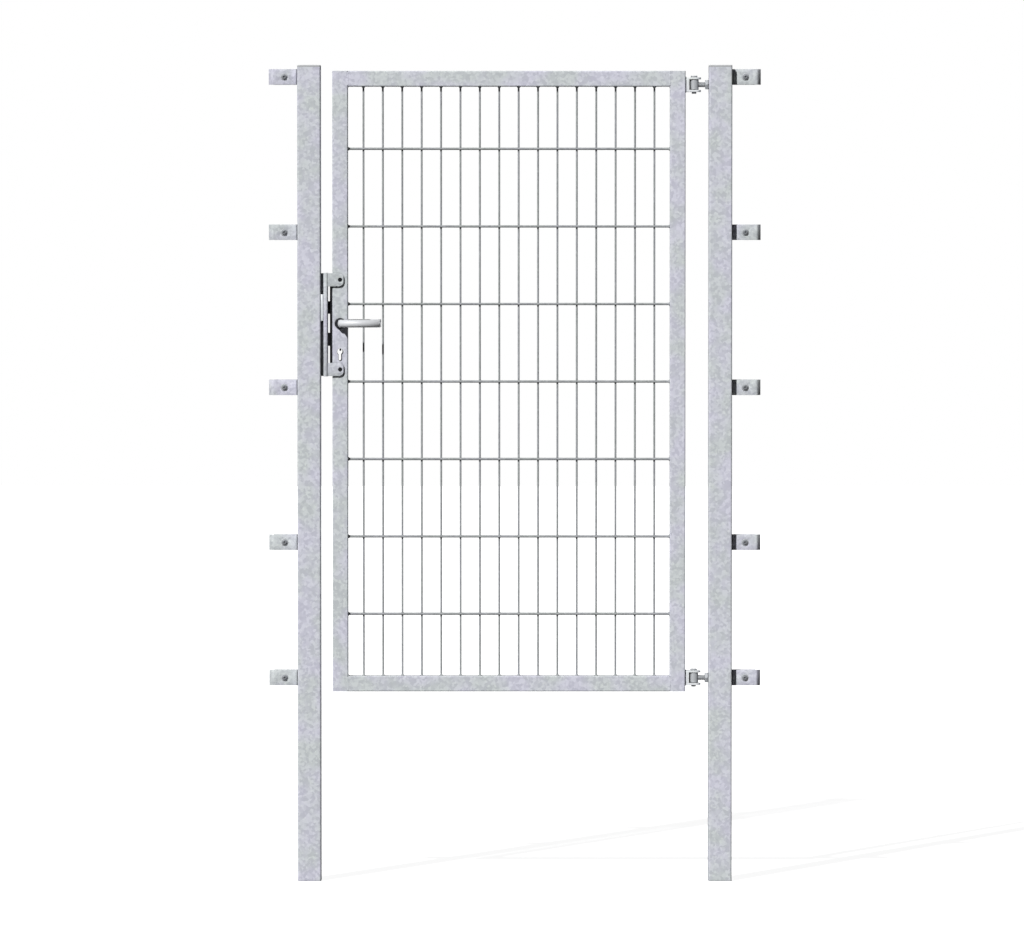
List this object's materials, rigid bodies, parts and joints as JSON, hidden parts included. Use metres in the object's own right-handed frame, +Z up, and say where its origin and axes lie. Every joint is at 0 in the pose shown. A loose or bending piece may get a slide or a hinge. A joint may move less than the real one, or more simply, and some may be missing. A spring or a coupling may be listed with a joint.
{
  "type": "single leaf gate",
  "caption": "Single leaf garden gate: square tube frame with double-rod mesh infill, hung on adjustable eye bolts between two square posts with fence clamps, lever handles and a strike.",
  "frame": {"origin": "on the front face of the hinge post, on the post's centre line, at ground level", "axes": "+Z up, +X towards the hinge side as seen from the front, +Y away from the viewer of the front"},
  "size_m": [1.2686, 0.1928, 2.105],
  "materials": {
    "galvanised": "hot-dip galvanised, matt with soft spangle",
    "hardware": "zinc plated",
    "lock": "dark burnished steel",
    "insert": "satin stainless steel",
    "lever": "satin anodised",
    "rosette": "fine matt",
    "rubber": "matt",
    "cap": "matt moulded"
  },
  "bodies": {
    "posts": {"hinge_post": "galvanised", "latch_post": "galvanised", "hinge_post_cap": "cap", "latch_post_cap": "cap", "clamp_plate_hinge_1": "galvanised", "clamp_bolt_hinge_1": "hardware", "clamp_plate_hinge_2": "galvanised", "clamp_bolt_hinge_2": "hardware", "clamp_plate_hinge_3": "galvanised", "clamp_bolt_hinge_3": "hardware", "clamp_plate_hinge_4": "galvanised", "clamp_bolt_hinge_4": "hardware", "clamp_plate_hinge_5": "galvanised", "clamp_bolt_hinge_5": "hardware", "clamp_plate_latch_1": "galvanised", "clamp_bolt_latch_1": "hardware", "clamp_plate_latch_2": "galvanised", "clamp_bolt_latch_2": "hardware", "clamp_plate_latch_3": "galvanised", "clamp_bolt_latch_3": "hardware", "clamp_plate_latch_4": "galvanised", "clamp_bolt_latch_4": "hardware", "clamp_plate_latch_5": "galvanised", "clamp_bolt_latch_5": "hardware", "eye_bolt_top": "hardware", "eye_bolt_bottom": "hardware", "lock_nut_top": "hardware", "lock_nut_bottom": "hardware", "strike": "galvanised", "buffer_top": "rubber", "buffer_bottom": "rubber", "keeper_insert": "insert"},
    "leaf": {"latch_stile": "galvanised", "hinge_stile": "galvanised", "top_rail": "galvanised", "bottom_rail": "galvanised", "mesh_infill": "galvanised", "clevis_top": "galvanised", "clevis_bottom": "galvanised", "hinge_pin_top": "hardware", "hinge_pin_bottom": "hardware", "lock_case": "lock", "rosette_front": "rosette", "rosette_back": "rosette"},
    "lever": {"lever_front": "lever", "lever_back": "lever"},
    "latch": {"latch_bolt": "lock"},
    "deadbolt": {"dead_bolt": "lock"}
  },
  "joints": [
    {"name": "gate_swing", "type": "hinge", "parent": "posts", "child": "leaf", "pos_m": [-0.068, 0.03, 0.84], "axis": [0, 0, -1], "range_deg": [0, 100]},
    {"name": "lever_turn", "type": "hinge", "parent": "leaf", "child": "lever", "pos_m": [-0.98, 0.03, 0.99], "axis": [0, 1, 0], "range_deg": [0, 40], "stiffness_Nm_per_rad": 2, "springref_deg": -20.05},
    {"name": "latch_slide", "type": "slide", "parent": "leaf", "child": "latch", "axis": [1, 0, 0], "range_m": [0, 0.013]},
    {"name": "deadbolt_slide", "type": "slide", "parent": "leaf", "child": "deadbolt", "axis": [1, 0, 0], "range_m": [0, 0.017]}
  ],
  "couplings": [
    {"joint": "latch_slide", "follows": "lever_turn", "m_per_rad": 0.0186}
  ]
}
